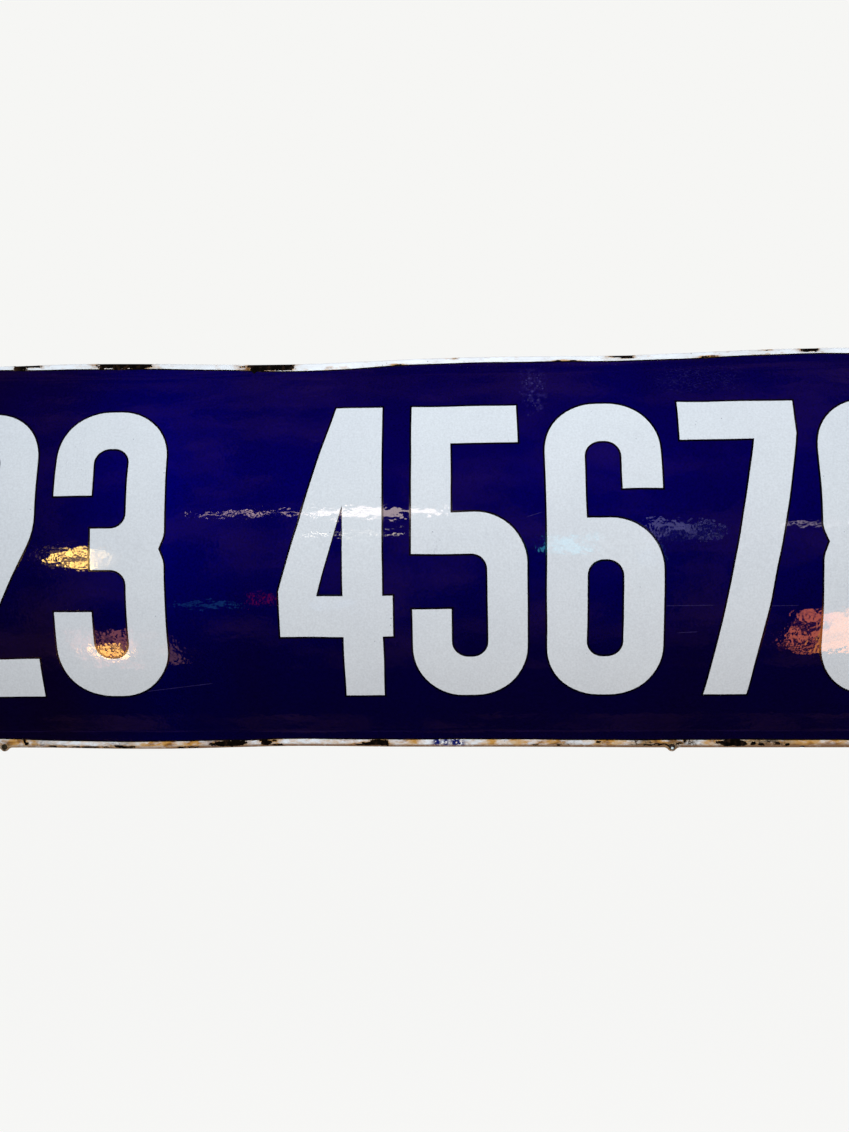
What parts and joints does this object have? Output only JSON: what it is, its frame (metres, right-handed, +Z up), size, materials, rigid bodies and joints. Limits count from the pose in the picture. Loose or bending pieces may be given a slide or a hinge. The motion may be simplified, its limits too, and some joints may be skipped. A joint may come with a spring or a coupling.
{
  "type": "enamel metro sign",
  "caption": "Long bowed enamelled steel station sign with flat margins, fixing ears and plain numerals in place of a name.",
  "frame": {"origin": "middle of the bounding box of the whole sign", "axes": "+X along the sign to the reader's right, +Z up, +Y from the reader into the wall: the bowed face looks towards -Y"},
  "size_m": [2.04, 0.054, 0.51],
  "materials": {
    "steel_sheet": "pressed steel sheet in dark vitreous enamel, glossy with orange peel",
    "blue_enamel": "deep cobalt blue vitreous enamel, glossy, rippled",
    "white_enamel": "cool white vitreous enamel, glossy, with pinholes, chips and rust stains",
    "bare_steel": "dark oxidised steel under the chips and round screw heads"
  },
  "bodies": {
    "root": {"sign_panel": "steel_sheet"}
  },
  "joints": []
}
